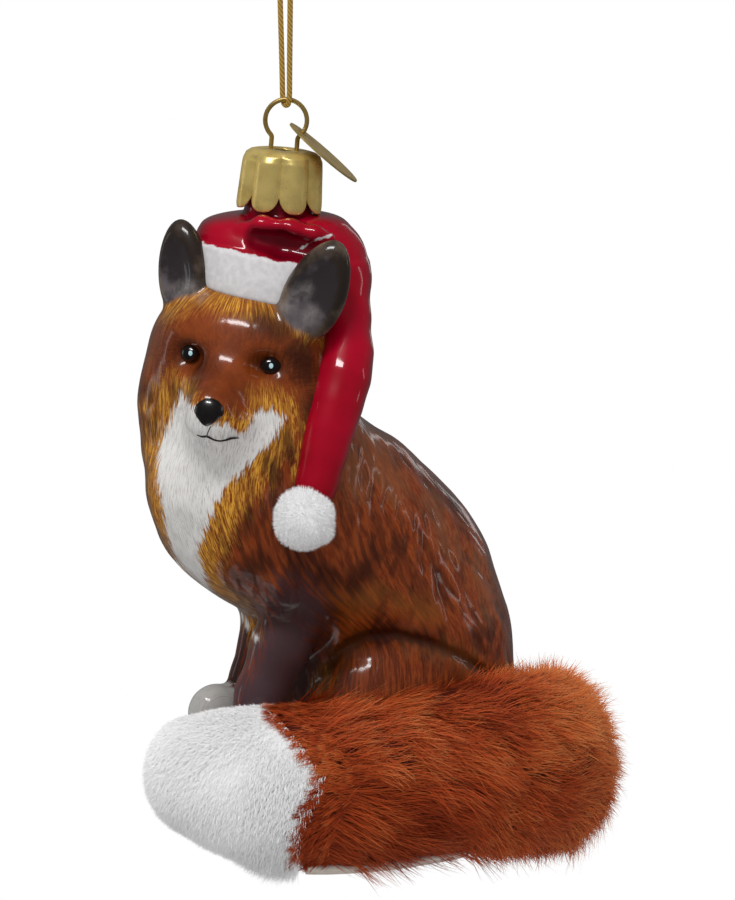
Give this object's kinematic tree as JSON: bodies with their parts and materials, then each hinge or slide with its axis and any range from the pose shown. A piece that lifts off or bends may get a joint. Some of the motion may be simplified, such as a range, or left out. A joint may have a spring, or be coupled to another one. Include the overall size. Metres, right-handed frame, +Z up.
{
  "type": "hanging fox ornament",
  "caption": "Hanging blown-glass ornament shaped as a sitting fox in a red hat, with a metal cap, wire ring, cord loop, tag and plush tail.",
  "frame": {"origin": "inside top of the cord loop, where a hook or twig carries the ornament", "axes": "+Z up, the fox's body faces -Y, its left side is +X"},
  "size_m": [0.0672, 0.0927, 0.17],
  "materials": {
    "painted_glass": "gloss",
    "cap_metal": "satin",
    "wire_metal": "satin",
    "gold_cord": "satin",
    "tag_metal": "satin",
    "white_plush": "matte",
    "brown_fur": "matte",
    "stuffing": "matte",
    "backing_cloth": "matte",
    "clear_glue": "gloss"
  },
  "bodies": {
    "cord_loop": {"hanging_cord": "gold_cord", "cord_knot": "gold_cord"},
    "hanger": {"hanger_wire": "wire_metal", "ornament_cap": "cap_metal"},
    "tag": {"hang_tag": "tag_metal"},
    "figure": {"glass_figure": "painted_glass", "hat_pompom": "white_plush", "pompom_glue": "clear_glue", "tail_fur": "brown_fur", "tail_tip_fur": "white_plush", "tail_stuffing": "stuffing", "tail_backing": "backing_cloth", "tail_glue": "clear_glue"}
  },
  "joints": [
    {"name": "ring_swing", "type": "hinge", "parent": "cord_loop", "child": "hanger", "pos_m": [0, 0, -0.0284], "axis": [0.5736, 0.8192, 0], "range_deg": [-50, 50]},
    {"name": "tag_swing", "type": "hinge", "parent": "hanger", "child": "tag", "pos_m": [0.00154, 0.00219, -0.03428], "axis": [0.3763, 0.5374, 0.7547], "range_deg": [-70, 70]},
    {"name": "cap_pull", "type": "slide", "parent": "hanger", "child": "figure", "axis": [-0.05, -0.0714, -0.9962], "range_m": [0, 0.018]}
  ]
}
